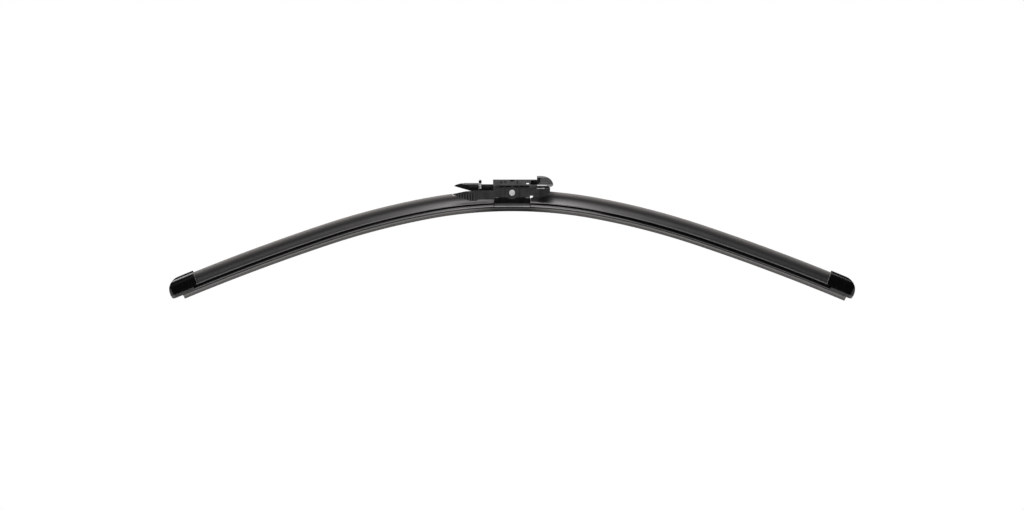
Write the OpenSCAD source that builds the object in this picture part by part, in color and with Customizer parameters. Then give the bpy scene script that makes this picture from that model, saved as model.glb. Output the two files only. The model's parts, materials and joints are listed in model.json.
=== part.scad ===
// Flat wiper blade: a bowed rubber strip on two steel rails, a spoiler in two lengths, end caps,
// a pressed bracket with a cross pin, and a moulded adapter that the wiper arm locks onto.
// Millimetres. X runs along the blade, Y across it, Z up and away from the glass.
// The origin lies on the adapter's flat top, straight above the pin.

/* [Blade] */
// Length from tip to tip, measured along the rails
blade_length = 646.5; // [520:0.5:760]
// Radius of the bow over the middle of the blade
bow_centre_r = 415; // [380:1:450]
// Radius of the bow either side of the middle
bow_middle_r = 700; // [600:1:900]
// Radius of the bow out to the tips
bow_outer_r = 1950; // [1200:10:3000]
// Length of rail, from the pin outward, that has the centre radius
bow_centre_len = 77; // [60:1:100]
// Length of rail that has the middle radius
bow_middle_len = 95; // [60:1:120]

/* [Rails] */
// Width of one spring steel rail
rail_w = 4.2; // [3.6:0.1:4.8]
// Thickness of a rail
rail_t = 0.9; // [0.7:0.05:1.2]
// Distance from the end of a rail to the tip of the end cap
rail_setback = 4.5; // [3.5:0.5:7]

/* [Rubber] */
// Thickness of the web between the rails
web_w = 1.8; // [1.2:0.1:2.4]
// Width of the head that holds the rails
head_w = 5.4; // [4.6:0.1:5.8]
// Thickness of each flange of the head
head_t = 0.9; // [0.7:0.1:1.1]
// Width of the neck that lets the lip tilt
neck_w = 0.9; // [0.6:0.1:1.4]
// Height of the neck
neck_h = 0.4; // [0.3:0.05:0.8]
// Width across the shoulders that limit the tilt
shoulder_w = 6.4; // [5.6:0.1:7]
// Height of the shoulders
shoulder_h = 0.75; // [0.5:0.05:1]
// Height of the taper under the shoulders
taper_h = 0.9; // [0.6:0.1:1.5]
// Width of the lip where the taper ends
lip_root_w = 1.3; // [1:0.1:1.8]
// Width of the lip at its wiping edge
lip_tip_w = 0.7; // [0.5:0.1:0.9]
// Height of the lip
lip_h = 2.2; // [1.5:0.1:3]
// Distance from the left end of the rubber to the tip of its end cap
rubber_left_setback = 10.5; // [7:0.5:14]
// Distance from the right end of the rubber to the tip of its end cap
rubber_right_setback = 5.5; // [5:0.5:14]

/* [Spoiler] */
// Height of the crest above the middle of the rails
spoiler_h = 13.7; // [11:0.1:16]
// Width across the flared lower edges
spoiler_w = 13.4; // [13:0.1:15]
// Height of the lower edge above the middle of the rails
flare_z = 2.2; // [2:0.1:2.4]
// Thickness of the lower edge
flare_t = 0.5; // [0.3:0.1:0.8]
// Half the width of the rounded crest
crest_half = 2.8; // [2:0.1:3]
// Height of the rounded crest
crest_h = 4.2; // [2.5:0.1:4.5]
// Distance that the crest leans back from the middle
crest_lean = 0.8; // [0:0.1:1.5]
// How strongly the flanks are hollowed
flank_power = 2.1; // [1.6:0.1:2.6]
// Thickness of the claws that grip the rails
claw_t = 0.8; // [0.6:0.1:0.9]
// Distance from the middle to the floor of the groove between flare and claw
groove_in = 4.7; // [4.4:0.1:5]
// Thickness left between that groove and the rail
groove_floor = 0.6; // [0.5:0.05:0.8]
// Length of the claws under the rails
claw_reach = 1.4; // [0.8:0.1:1.8]
// Height left of the spoiler beside the bracket, on the lever's side
dip_left_z = 8.4; // [7:0.1:8.5]
// Distance from the pin to which the spoiler keeps that height, on the lever's side
dip_left_l = 40; // [36:1:42]
// Height of the crest where the cut on the lever's side ends
rise_left_z = 12.2; // [11:0.1:12.3]
// How far short of the lever's point the cut on its side ends
cut_left_back = 0.3; // [0:0.1:0.4]
// Height left of the spoiler beside the bracket, on the nose's side
dip_right_z = 6.4; // [5.5:0.1:6.6]
// Height of the crest under the adapter's right block
rise_right_z = 12.6; // [11.5:0.1:12.8]
// Distance from the pin to where the crest has risen to that height
rise_right_l = 27; // [25:0.5:28]
// Distance from the pin to the end of the cut on the nose's side
cut_right_l = 32.6; // [32:0.2:33.8]
// Distance from the end of a spoiler to the tip of its end cap
spoiler_setback = 8; // [6:0.5:12]

/* [End caps] */
// Length of an end cap along its top
cap_l = 26.9; // [25:0.1:32]
// Wall of an end cap
cap_wall = 1; // [0.8:0.1:1.4]
// How square the arch of an end cap is, 2 for an ellipse and more for a fuller arch
cap_arch = 2.5; // [2.3:0.1:3]
// Height of the arch's crown above the cap's wall over the spoiler
cap_crown = 0.5; // [0.2:0.1:0.8]
// Radius of the rounded top corner at the tip
cap_corner_r = 13; // [8:0.5:13.5]
// Radius of the upright corners at the tip
cap_nose_r = 5; // [2:0.5:6]
// Height of the cap's lower edge above the middle of the rails
cap_edge_z = 0.9; // [0.7:0.1:1.2]
// Distance from the middle of the rails down to the foot of the skirt
skirt_drop = 1.8; // [1.5:0.1:2]
// Wall of the skirt
skirt_wall = 0.8; // [0.6:0.1:1]

/* [Bracket] */
// Length of the bracket along the blade
bracket_l = 33.4; // [31:0.2:34]
// Sheet thickness of the bracket
bracket_t = 1; // [0.8:0.1:1]
// Distance between the bracket's upright walls
bracket_gap = 9.6; // [9:0.1:9.6]
// Height of the upright corners of the walls above the rails
bracket_corner_h = 6.3; // [5.9:0.1:6.8]
// Radius of the bracket's eye around the pin
eye_r = 4.2; // [3.8:0.1:4.2]
// Length of the bracket's claws under the rails
bracket_reach = 1.6; // [1:0.1:2]

/* [Pin] */
// Diameter of the pin
pin_d = 5.5; // [4.5:0.1:5.8]
// Height of the pin above the middle of the rails
pin_h = 11; // [10.8:0.1:11.5]
// Wall of the sleeve on the pin
sleeve_t = 1; // [0.8:0.1:1.2]
// Radial running clearance of the pin in the adapter, and of the lever's stubs
run_fit = 0.05; // [0.02:0.01:0.08]

/* [Adapter] */
// Width across the side walls
adapter_w = 16; // [15.8:0.1:17]
// Thickness of the side walls
adapter_wall = 1.7; // [1.5:0.1:1.7]
// Height of the flat top above the pin
seat_h = 12; // [11.6:0.1:13]
// Distance from the pin to the adapter's left end
adapter_left = 17.3; // [17:0.1:18]
// Distance from the pin to the right end of the side walls' deep part
wall_right = 16.3; // [15.8:0.1:16.8]
// Distance from the pin to the end of the right block
block_right = 34.5; // [34:0.1:36]
// Distance from the pin down to the foot of the side walls
wall_drop = 4.8; // [4.5:0.1:5]
// Distance from the pin down to the foot of the right block
block_drop = 3.7; // [3:0.1:4]
// Radius of the boss around the pin
boss_r = 5.8; // [5.5:0.1:6]
// Height of the base's top edge above the pin
base_top = 5.2; // [5:0.1:5.6]
// Width of the dark slot between base and cover
split_gap = 1.2; // [1:0.1:1.4]
// Thickness of the cover's roof
roof_t = 1.6; // [1.2:0.1:1.8]
// Distance from the pin to the nose's face
nose_left = 22.7; // [22.4:0.1:23.2]
// Distance from the pin to the tip of the nose
nose_right = 37.4; // [36.8:0.1:38.5]
// Height of the nose above the flat top
nose_rise = 3.3; // [2.8:0.1:3.8]
// Height of the slot under the nose's lip
lip_slot_h = 1.7; // [1.4:0.1:2]

/* [Pinch tabs] */
// Distance from the pin to the tip of the tabs
tab_left = 53.8; // [50:0.2:56]
// Thickness of a tab
tab_t = 1.2; // [1:0.1:1.6]
// Distance from the middle to the inner face of a tab
tab_in = 7.2; // [7.1:0.1:7.4]
// Spacing of the grip ribs
grip_pitch = 2.4; // [2.2:0.1:2.8]
// Width of a grip rib
grip_w = 1.1; // [0.8:0.1:1.3]
// Height of a grip rib
grip_h = 0.8; // [0.4:0.1:0.9]

/* [Lever] */
// Distance from the pin to the lever's point
lever_left = 52.9; // [48:0.2:54]
// Width of the lever
lever_w = 10.8; // [9:0.2:11]
// Distance from the pin to the lever's hinge
hinge_x = 14.3; // [14:0.1:14.8]
// Height of the lever's hinge above the pin
hinge_z = 3; // [2.8:0.1:3.2]
// Radius of the lever's hub
hub_r = 2.2; // [2:0.1:2.3]
// Diameter of the lever's stub pins
stub_d = 2.4; // [2:0.1:2.6]
// Length of a stub pin in its blind hole
stub_l = 1.1; // [0.9:0.05:1.2]
// Distance from the pin to the middle of the ribbed thumb piece
thumb_x = 29.1; // [28.8:0.1:33]
// Width of the thumb piece along the blade
thumb_w = 2.4; // [2:0.1:3]
// Height of the thumb piece's top above the pin
thumb_top = 12.1; // [11.5:0.1:12.5]
// Thickness of the thumb piece's sides
thumb_t = 0.6; // [0.5:0.1:0.7]
// Spacing of the thumb piece's ribs
thumb_pitch = 1.85; // [1.6:0.05:2.2]

/* [Hidden] */
$fn = 64;

// Clearance between pieces that are pushed together
fit = 0.1;
half_length = blade_length / 2;
pin_z = -seat_h;
rail_z = pin_z - pin_h;
bow_r = [bow_centre_r, bow_middle_r, bow_outer_r];
bow_len = [bow_centre_len, bow_middle_len, half_length - bow_centre_len - bow_middle_len];

// Half widths and heights that the rails give to what grips them
rail_in = web_w / 2 + fit;
rail_out = rail_in + rail_w;
grip_in = rail_out + fit;
grip_z = rail_t / 2 + fit;
head_top = grip_z + head_t;
claw_out = grip_in + claw_t;
claw_foot = grip_z + claw_t;
neck_top = head_top;
shoulder_top = neck_top + neck_h;
taper_top = shoulder_top + shoulder_h;
lip_top = taper_top + taper_h;
lip_foot = lip_top + lip_h;

function reversed(list) = [for (i = [len(list) - 1:-1:0]) list[i]];

// Front half of a section, given as [height, y], closed by its mirror image with an optional list between
function both_sides(half, between = []) = concat(half, between, [for (p = reversed(half)) [p[0], -p[1]]]);

// The bow is three tangent arcs on each side of the pin, given here as [x, z, turn] at a distance from the pin
function degrees(distance, r) = distance / r * 180 / PI;
function bow_half(distance, k = 0, turn = 0) =
    let (here = k + 1 < len(bow_r) ? min(distance, bow_len[k]) : distance)
    let (next = turn + degrees(here, bow_r[k]))
    let (moved = bow_r[k] * [sin(next) - sin(turn), cos(next) - cos(turn), 0])
    distance > here ? moved + bow_half(distance - here, k + 1, next) : moved + [0, 0, next];
function bow(distance) = distance < 0
    ? let (far = bow_half(-distance)) [-far[0], far[1], -far[2]]
    : bow_half(distance);

// X and Z of a height above the rails, at a distance along the bow
function above_bow(distance, height) =
    let (place = bow(distance))
    [place[0] + height * sin(place[2]), place[1] + height * cos(place[2])];

// Distances at which the swept pieces have a section
bow_steps = 7;
bow_starts = [0, bow_centre_len, bow_centre_len + bow_middle_len];
bow_knots = [for (k = [0:len(bow_r) - 1], i = [1:bow_steps]) bow_starts[k] + bow_len[k] * i / bow_steps];
bow_stations = concat(reversed(-bow_knots), [0], bow_knots);
min_step = 2;

// Cuts a section into triangles for the flat ends of a sweep, one free corner at a time
function turn_of(a, b, c) = (b[0] - a[0]) * (c[1] - a[1]) - (b[1] - a[1]) * (c[0] - a[0]);
function holds(t, p) = min([for (i = [0:2]) turn_of(t[i], t[(i + 1) % 3], p)]) >= 0;
function corner(left, i) = [for (k = [-1:1]) left[(i + k + len(left)) % len(left)]];
function is_free(section, left, i) =
    let (c = corner(left, i), t = [for (k = c) section[k]])
    turn_of(t[0], t[1], t[2]) > 0.001
    && len([for (k = left) if (len(search(k, c)) == 0 && holds(t, section[k])) k]) == 0;
function triangles(section, left) = len(left) == 3 ? [left] :
    let (i = [for (i = [0:len(left) - 1]) if (is_free(section, left, i)) i][0])
    concat([corner(left, i)], triangles(section, [for (k = left) if (k != left[i]) k]));

// Sweeps a section, a list of [height, y], along the bow from one distance to another
module along_bow(section, from, to) {
    between = [for (s = bow_stations) if (s > from + min_step && s < to - min_step) s];
    stations = concat([from], between, [to]);
    count = len(section);
    last = (len(stations) - 1) * count;
    points = [for (s = stations, p = section) let (q = above_bow(s, p[0])) [q[0], p[1], q[1]]];
    sides = [for (i = [0:count:last - 1], j = [0:count - 1])
        [i + j, i + count + j, i + count + (j + 1) % count, i + (j + 1) % count]];
    near_end = triangles(section, [for (j = [0:count - 1]) j]);
    far_end = [for (t = near_end) [for (j = reversed(t)) j + last]];
    polyhedron(points, concat(sides, near_end, far_end));
}

// Turns a section, drawn with X as height and Y across, about the centre of the middle arc
module centre_arc(from, to) {
    translate([0, 0, -bow_centre_r])
        rotate([-90, -90, 0])
            rotate([0, 0, degrees(from, bow_centre_r)])
                rotate_extrude(angle = degrees(to - from, bow_centre_r), $fn = 720)
                    translate([bow_centre_r, 0])
                        children();
}

// Moves its children to a distance along the bow, X pointing to the tip
module place_on_bow(distance) {
    place = bow(distance);
    translate([place[0], 0, place[1]])
        rotate([0, place[2], 0])
            children();
}

module on_rails() {
    translate([0, 0, rail_z])
        children();
}

module at_pin() {
    translate([0, 0, pin_z])
        children();
}

// Extrudes a side outline, drawn as X and Z, across the blade
module across(from, to) {
    rotate([90, 0, 0])
        translate([0, 0, -to])
            linear_extrude(to - from)
                children();
}

module both_walls(from, to) {
    across(from, to)
        children();
    across(-to, -from)
        children();
}

module cross_cylinder(r, from, to) {
    rotate([90, 0, 0])
        translate([0, 0, -to])
            cylinder(r = r, h = to - from);
}

rubber_section = both_sides([
    [-lip_foot, -lip_tip_w / 2],
    [-lip_top, -lip_root_w / 2],
    [-taper_top, -shoulder_w / 2],
    [-shoulder_top, -shoulder_w / 2],
    [-shoulder_top, -neck_w / 2],
    [-neck_top, -neck_w / 2],
    [-neck_top, -head_w / 2],
    [-grip_z, -head_w / 2],
    [-grip_z, -web_w / 2],
    [grip_z, -web_w / 2],
    [grip_z, -head_w / 2],
    [head_top, -head_w / 2]]);

module wiper_rubber() {
    color("#2b2a2a")
        on_rails()
            along_bow(rubber_section, rubber_left_setback - half_length, half_length - rubber_right_setback);
}

module rail(side) {
    far = half_length - rail_setback;
    edges = side > 0 ? [rail_in, rail_out] : [-rail_out, -rail_in];
    color("#3a3b3d")
        on_rails()
            along_bow([
                [-rail_t / 2, edges[0]],
                [rail_t / 2, edges[0]],
                [rail_t / 2, edges[1]],
                [-rail_t / 2, edges[1]]], -far, far);
}

// Hollowed flanks and rounded crest, drawn as [height, y] and grown outward by some amount
flank_steps = 8;
crest_steps = 12;
flank_foot = flare_z + flare_t;
flank_top = spoiler_h - crest_h;
function flank(foot_y, top_y) = [for (i = [0:flank_steps])
    [flank_foot + (flank_top - flank_foot) * i / flank_steps,
    top_y + (foot_y - top_y) * pow(1 - i / flank_steps, flank_power)]];
function crest(grow) = [for (i = [1:crest_steps - 1])
    [flank_top + (crest_h + grow) * sin(180 * i / crest_steps),
    crest_lean - (crest_half + grow) * cos(180 * i / crest_steps)]];
function flanks(grow) = concat(
    flank(-spoiler_w / 2 - grow, crest_lean - crest_half - grow),
    crest(grow),
    reversed(flank(spoiler_w / 2 + grow, crest_lean + crest_half + grow)));

// Outline of the spoiler and its claws that an end cap is hollowed to
module spoiler_outline(grow, foot) {
    polygon(both_sides([
        [foot, -claw_out - grow],
        [flare_z - claw_t - grow, -claw_out - grow],
        [flare_z - grow, -spoiler_w / 2 - grow]], flanks(grow)));
}

// Channel for the rubber's head, grooves for the rails, rounded claws round them, and a shadow groove
// under the flared lower edges
claw_in = grip_in - claw_reach;
claw_round = 0.45;
claw_top = grip_z + groove_floor;
head_in = head_w / 2 + 3 * fit;
channel_top = head_top + 3 * fit;
spoiler_section = both_sides([
    [channel_top, -head_in],
    [grip_z, -head_in],
    [grip_z, -grip_in],
    [-grip_z, -grip_in],
    [-grip_z, -claw_in],
    [-claw_foot, -claw_in],
    [-claw_foot, claw_round - claw_out],
    [claw_round / 3 - claw_foot, claw_round / 3 - claw_out],
    [claw_round - claw_foot, -claw_out],
    [claw_top - 2 * claw_round, -claw_out],
    [claw_top - claw_round / 2, claw_round - claw_out],
    [claw_top, -groove_in],
    [flare_z - claw_round / 2, -groove_in],
    [flare_z, -spoiler_w / 2]], flanks(0));

// Room for the adapter to swing in, cut from a spoiler down to a list of [distance, height], and an
// upright end beside the bracket
module crest_cut(profile) {
    high = 2 * spoiler_h;
    flare = 3;
    end = profile[len(profile) - 1][0] + flare;
    across(-spoiler_w, spoiler_w) {
        polygon([for (p = concat([[0, high], [0, profile[0][1]]], profile, [[end, high]]))
            above_bow(p[0], p[1])]);
        translate([0, -spoiler_h])
            square([bracket_l / 2 + fit, 2 * spoiler_h]);
    }
}

module spoiler(cut) {
    start = bracket_l / 2 - 1;
    color("#454443")
        on_rails()
            difference() {
                along_bow(spoiler_section, start, half_length - spoiler_setback);
                crest_cut(cut);
            }
}
left_cut = [[dip_left_l, dip_left_z], [lever_left - cut_left_back, rise_left_z]];
right_cut = [[bracket_l / 2, dip_right_z], [rise_right_l, rise_right_z], [cut_right_l, rise_right_z]];

// Extrudes a section, drawn as [height, y], back from one distance behind the tip to another
module behind_tip(from, to) {
    translate([-from, 0, 0])
        rotate([0, -90, 0])
            linear_extrude(to - from)
                children();
}

// Side outline of an end cap, from the cut corner of its mouth to the rounded corner at the tip
cap_top = spoiler_h + fit + cap_wall + cap_crown;
cap_back = [[0, cap_top], [0, 4.3], [0.6, 2.6], [2.1, 1.6]];
module cap_outline() {
    intersection() {
        translate([-cap_l, 0])
            polygon(concat(
                cap_back,
                [[skirt_start, cap_edge_z], [cap_l, cap_edge_z], [cap_l, cap_top]]));
        union() {
            translate([-cap_corner_r, cap_top - cap_corner_r])
                circle(r = cap_corner_r);
            translate([-cap_l, cap_edge_z])
                square([cap_l - cap_corner_r, cap_top - cap_edge_z]);
            translate([-cap_l, cap_edge_z])
                square([cap_l, cap_top - cap_corner_r - cap_edge_z]);
        }
    }
}

// The skirt hangs below the cap's edge, starts behind the mouth and ends in a rounded corner
skirt_start = 5;
skirt_l = cap_l - skirt_start;
skirt_corner_r = 1.6;
skirt_inset = 0.4;
module skirt_outline() {
    intersection() {
        translate([-skirt_inset - skirt_l, -skirt_drop])
            square([skirt_l, skirt_drop + cap_edge_z + 0.5]);
        union() {
            translate([-skirt_inset - skirt_corner_r, skirt_corner_r - skirt_drop])
                circle(r = skirt_corner_r);
            translate([-skirt_inset - skirt_l, -skirt_drop])
                square([skirt_l - skirt_corner_r, skirt_drop + cap_edge_z + 0.5]);
            translate([-skirt_inset - skirt_l, skirt_corner_r - skirt_drop])
                square([skirt_l, skirt_drop + cap_edge_z + 0.5]);
        }
    }
}

// Plan outline with rounded upright corners at the tip
module cap_plan(half_w) {
    translate([-cap_l - 1, -half_w])
        square([cap_l + 1 - cap_nose_r, 2 * half_w]);
    translate([-cap_l, cap_nose_r - half_w])
        square([cap_l, 2 * (half_w - cap_nose_r)]);
    for (side = [-1, 1])
        translate([-cap_nose_r, side * (half_w - cap_nose_r)])
            circle(r = cap_nose_r);
}

// Arched section of an end cap, drawn as [height, y]
cap_steps = 10;
function arch_y(share, half_w) = half_w * pow(1 - pow(share, cap_arch), 1 / cap_arch);
module cap_section(half_w) {
    polygon(both_sides([for (i = [0:cap_steps - 1])
        let (share = sin(90 * i / cap_steps))
        [cap_top * share, -arch_y(share, half_w)]], [[cap_top, 0]]));
}

module end_cap(rubber_setback) {
    half_w = spoiler_w / 2 + fit + cap_wall;
    skirt_out = claw_out + fit + skirt_wall;
    color("#1b1b1c")
        on_rails()
            place_on_bow(half_length - cap_l / 2)
                translate([cap_l / 2, 0, 0])
                    difference() {
                        union() {
                            intersection() {
                                across(-half_w - 1, half_w + 1)
                                    cap_outline();
                                behind_tip(-1, cap_l + 1)
                                    cap_section(half_w);
                                translate([0, 0, cap_edge_z - 1])
                                    linear_extrude(cap_top - cap_edge_z + 2)
                                        cap_plan(half_w);
                            }
                            intersection() {
                                across(-skirt_out, skirt_out)
                                    skirt_outline();
                                translate([0, 0, -skirt_drop - 1])
                                    linear_extrude(skirt_drop + cap_edge_z + 2)
                                        cap_plan(skirt_out);
                            }
                        }
                        behind_tip(spoiler_setback - fit, cap_l + 1)
                            spoiler_outline(fit, -skirt_drop - 1);
                        behind_tip(rail_setback - fit, cap_l)
                            translate([-grip_z, -grip_in])
                                square([2 * grip_z, 2 * grip_in]);
                        behind_tip(rubber_setback - fit, cap_l)
                            translate([-skirt_drop - 1, -head_in])
                                square([skirt_drop + 1 + channel_top, 2 * head_in]);
                    }
}

// Flanges and claws that wrap the rails, and the web over the rubber's head
bracket_in = bracket_gap / 2;
bracket_out = bracket_in + bracket_t;
bracket_claw_out = grip_in + bracket_t;
module bracket_section() {
    for (side = [-1, 1])
        scale([1, side])
            polygon([
                [grip_z, bracket_in],
                [grip_z + bracket_t, bracket_in],
                [grip_z + bracket_t, bracket_claw_out],
                [-grip_z - bracket_t, bracket_claw_out],
                [-grip_z - bracket_t, grip_in - bracket_reach],
                [-grip_z, grip_in - bracket_reach],
                [-grip_z, grip_in],
                [grip_z, grip_in]]);
    translate([channel_top, -bracket_in - bracket_t / 2])
        square([bracket_t, 2 * bracket_in + bracket_t]);
}

// Upright wall: an eye around the pin that runs tangent to both corners
module bracket_wall() {
    foot = grip_z + bracket_t / 2 - pin_h;
    corner = [bracket_l / 2, bracket_corner_h - pin_h];
    touch = atan2(corner[1], corner[0]) + acos(eye_r / norm(corner));
    polygon([
        [-corner[0], foot],
        [-corner[0], corner[1]],
        [-eye_r * cos(touch), eye_r * sin(touch)],
        [eye_r * cos(touch), eye_r * sin(touch)],
        [corner[0], corner[1]],
        [corner[0], foot]]);
    circle(r = eye_r);
}

module connector_bracket() {
    color("#141414")
        difference() {
            union() {
                on_rails()
                    centre_arc(-bracket_l / 2, bracket_l / 2)
                        bracket_section();
                at_pin()
                    both_walls(bracket_in, bracket_out)
                        bracket_wall();
            }
            at_pin()
                cross_cylinder(pin_d / 2, -adapter_w, adapter_w);
        }
}

module pivot_pin() {
    chamfer = 0.4;
    shank = adapter_w / 2 + fit - chamfer;
    color("#d8d5d2")
        at_pin() {
            cross_cylinder(pin_d / 2, -shank, shank);
            for (side = [-90, 90])
                rotate([side, 0, 0])
                    translate([0, 0, shank])
                        cylinder(r1 = pin_d / 2, r2 = pin_d / 2 - chamfer, h = chamfer);
        }
}

module spacer_sleeve() {
    color("#8c8c8c")
        at_pin()
            difference() {
                cross_cylinder(pin_d / 2 + run_fit + sleeve_t, -bracket_in, bracket_in);
                cross_cylinder(pin_d / 2 + run_fit, -adapter_w, adapter_w);
            }
}

wall_out = adapter_w / 2;
wall_in = wall_out - adapter_wall;
cover_foot = base_top + split_gap;
deck_foot = eye_r + 0.3;
deck_left = hinge_x - hub_r - 1;
// Gap beside the bracket that can be seen through, between the deep wall and the right block
peep_w = 2.7;
peep_foot = 2.5;
deck_right = block_right - 1;
scallop = 0.7;
// Snap ribs that bridge the slot between base and cover, each given as its start and its end
snaps = [[-adapter_left, 4.5 - adapter_left], [-7.5, -6.3], [5.5, 6.7], [wall_right - 0.8, nose_left - 0.2]];
groove_at = [-6.5, 7.2];

module base_wall() {
    chamfer = 3.2;
    polygon([
        [-adapter_left, base_top],
        [block_right, base_top],
        [block_right, chamfer + 1 - block_drop],
        [block_right - chamfer, 1 - block_drop],
        [block_right - chamfer - 5, -block_drop],
        [wall_right + peep_w, -block_drop],
        [wall_right + peep_w, -peep_foot],
        [wall_right, -peep_foot],
        [wall_right, -wall_drop],
        [wall_right - 3.8, -wall_drop],
        [wall_right - 4.6, scallop - wall_drop],
        [5.2 - adapter_left, scallop - wall_drop],
        [4.4 - adapter_left, -wall_drop],
        [-adapter_left, -wall_drop]]);
    circle(r = boss_r);
}

// Upper and lower edges of a pinch tab, from its point to its neck
tab_neck = 30.6;
tab_drop = wall_drop + 2.6;
tab_top = [[-tab_left, -1.1], [11.4 - tab_left, 1.3], [22.8 - tab_left, 2]];
tab_foot = [[-tab_left, -1.7], [15.4 - tab_left, -tab_drop], [-tab_neck - 1.8, -tab_drop],
    [-tab_neck, 1.2 - tab_drop]];
rib_tops = [[-tab_left, -1.3], [8 - tab_left, -0.6], [-tab_neck, -1.6]];

module pinch_tab() {
    polygon(concat(
        tab_top,
        [[2 - adapter_left, 2],
            [2 - adapter_left, -wall_drop],
            [-adapter_left, 1.3 - tab_drop]],
        reversed(tab_foot)));
}

module grip_ribs() {
    first = 2 - tab_left;
    for (x = [first:grip_pitch:-tab_neck - grip_pitch]) {
        foot = lookup(x, tab_foot) + 0.1;
        translate([x, foot])
            square([grip_w, lookup(x, rib_tops) - foot]);
    }
}

// Side outline of the core that closes the slot from inside and runs under the nose
module slot_floor() {
    over_hub = hinge_z + hub_r + 3 * fit;
    polygon([
        [-deck_left, deck_foot],
        [deck_right, deck_foot],
        [deck_right, nose_foot],
        [nose_left - 0.2, nose_foot],
        [nose_left - 0.2, cover_foot],
        [1 - hinge_x, cover_foot],
        [1 - hinge_x, over_hub],
        [-deck_left, over_hub]]);
}

module adapter_base() {
    color("#3c3b3b")
        at_pin()
            difference() {
                union() {
                    both_walls(wall_in, wall_out)
                        base_wall();
                    both_walls(tab_in, tab_in + tab_t)
                        pinch_tab();
                    both_walls(tab_in + tab_t / 2, tab_in + tab_t + grip_h)
                        grip_ribs();
                    both_walls(wall_in - 3 * fit, wall_out)
                        for (snap = snaps)
                            translate([snap[0], base_top - 1])
                                square([snap[1] - snap[0], split_gap + 1]);
                    across(-wall_in - 1, wall_in + 1)
                        translate([-deck_left, deck_foot])
                            square([deck_left + deck_right, base_top - deck_foot]);
                    across(-wall_in + 3 * fit, wall_in - 3 * fit)
                        slot_floor();
                }
                cross_cylinder(pin_d / 2 + run_fit, -adapter_w, adapter_w);
                translate([-hinge_x, 0, hinge_z])
                    cross_cylinder(stub_d / 2 + run_fit, -wall_in - stub_l - fit, wall_in + stub_l + fit);
                both_walls(wall_out - 3 * fit, wall_out + 1)
                    for (x = groove_at)
                        translate([x, -boss_r - 1])
                            square([0.4, base_top + boss_r]);
                for (side = [-1, 1])
                    translate([nose_left + block_right / 2, side * wall_out, base_top])
                        rotate([45, 0, 0])
                            cube([block_right, 1.9, 1.9], center = true);
                both_walls(wall_out - 4 * fit, wall_out + 1)
                    translate([wall_right, -block_drop - 1])
                        square([nose_left - 0.7 - wall_right, base_top + block_drop + 0.5]);
            }
}

nose_foot = base_top + split_gap / 2;
nose_top = seat_h + nose_rise;
nose_flat = 3.8;
lip_l = 2.8;
nose_steps = 12;

// Side outline of the nose: a flat lip, then a quarter of an ellipse down to a blunt chin
module nose_outline() {
    reach = nose_right - nose_left - nose_flat;
    drop = nose_top - nose_foot - 1;
    polygon(concat(
        [[nose_left, nose_top]],
        [for (i = [0:nose_steps])
            [nose_left + nose_flat + reach * sin(90 * i / nose_steps),
            nose_top - drop + drop * cos(90 * i / nose_steps)]],
        [[nose_right - 1.6, nose_foot],
            [nose_left, nose_foot]]));
}

// Section of the nose: an outward ledge at its foot and chamfered shoulders
module nose_section() {
    body = wall_out - 0.9;
    polygon(both_sides([
        [nose_foot, -wall_out],
        [nose_foot + 0.5, -wall_out],
        [nose_foot + 1.6, -body],
        [nose_top - 1.6, -body],
        [nose_top, -body + 1.6]]));
}

// Outline of the pocket that takes the arm's hooks, in the side of the cover and under the nose's lip
pocket_left = nose_left - 5.9;
pocket_foot = cover_foot + 0.9;
module hook_pocket() {
    polygon([
        [pocket_left + 0.6, pocket_foot],
        [pocket_left, pocket_foot + 0.6],
        [pocket_left, seat_h - 1.4],
        [pocket_left + 0.6, seat_h - 0.8],
        [nose_left - 0.4, seat_h - 0.8],
        [nose_left - 0.4, seat_h + fit],
        [nose_left + lip_l, seat_h + fit],
        [nose_left + lip_l, seat_h - 2.1],
        [nose_left + 0.3, pocket_foot]]);
}

rib_half = 1;
module adapter_cover() {
    peg_hole = [pocket_left - 2.6, cover_foot + 2.1];
    peg_half = 0.65;
    peg_r = 0.7;
    color("#4a4949")
        at_pin()
            difference() {
                union() {
                    difference() {
                        across(-wall_out, wall_out)
                            translate([-adapter_left, cover_foot])
                                square([adapter_left + nose_left, seat_h - cover_foot]);
                        across(-wall_in, wall_in)
                            translate([-adapter_left - 1, cover_foot - 1])
                                square([adapter_left + pocket_left + 4, seat_h - roof_t - cover_foot + 1]);
                    }
                    across(-rib_half, rib_half)
                        translate([-deck_left, cover_foot])
                            square([deck_left + pocket_left + 4, seat_h - cover_foot - roof_t / 2]);
                    intersection() {
                        across(-wall_out, wall_out)
                            nose_outline();
                        translate([nose_right, 0, 0])
                            behind_tip(-1, nose_right - nose_left)
                                nose_section();
                    }
                }
                both_walls(rib_half + 1, wall_out + 1)
                    hook_pocket();
                both_walls(rib_half + 1, adapter_w)
                    translate([nose_left - 1, seat_h])
                        square([1 + lip_l, lip_slot_h]);
                across(-adapter_w, adapter_w)
                    translate(peg_hole) {
                        translate([-peg_half, -peg_r])
                            square([2 * peg_half, 2 * peg_r]);
                        for (side = [-peg_half, peg_half])
                            translate([side, 0])
                                circle(r = peg_r);
                    }
                both_walls(wall_out - 0.6, wall_out + 1) {
                    for (x = [-9.8, -6.1])
                        translate([x, seat_h - 2.3])
                            difference() {
                                circle(r = 1.15);
                                circle(r = 0.5);
                            }
                    translate([4.4, cover_foot + 1.4])
                        square([0.5, 3.2]);
                }
                both_walls(wall_out - 1.2, wall_out + 1)
                    translate([-1.4, seat_h - 1.7])
                        square([3.1, 1.3]);
            }
}

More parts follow.
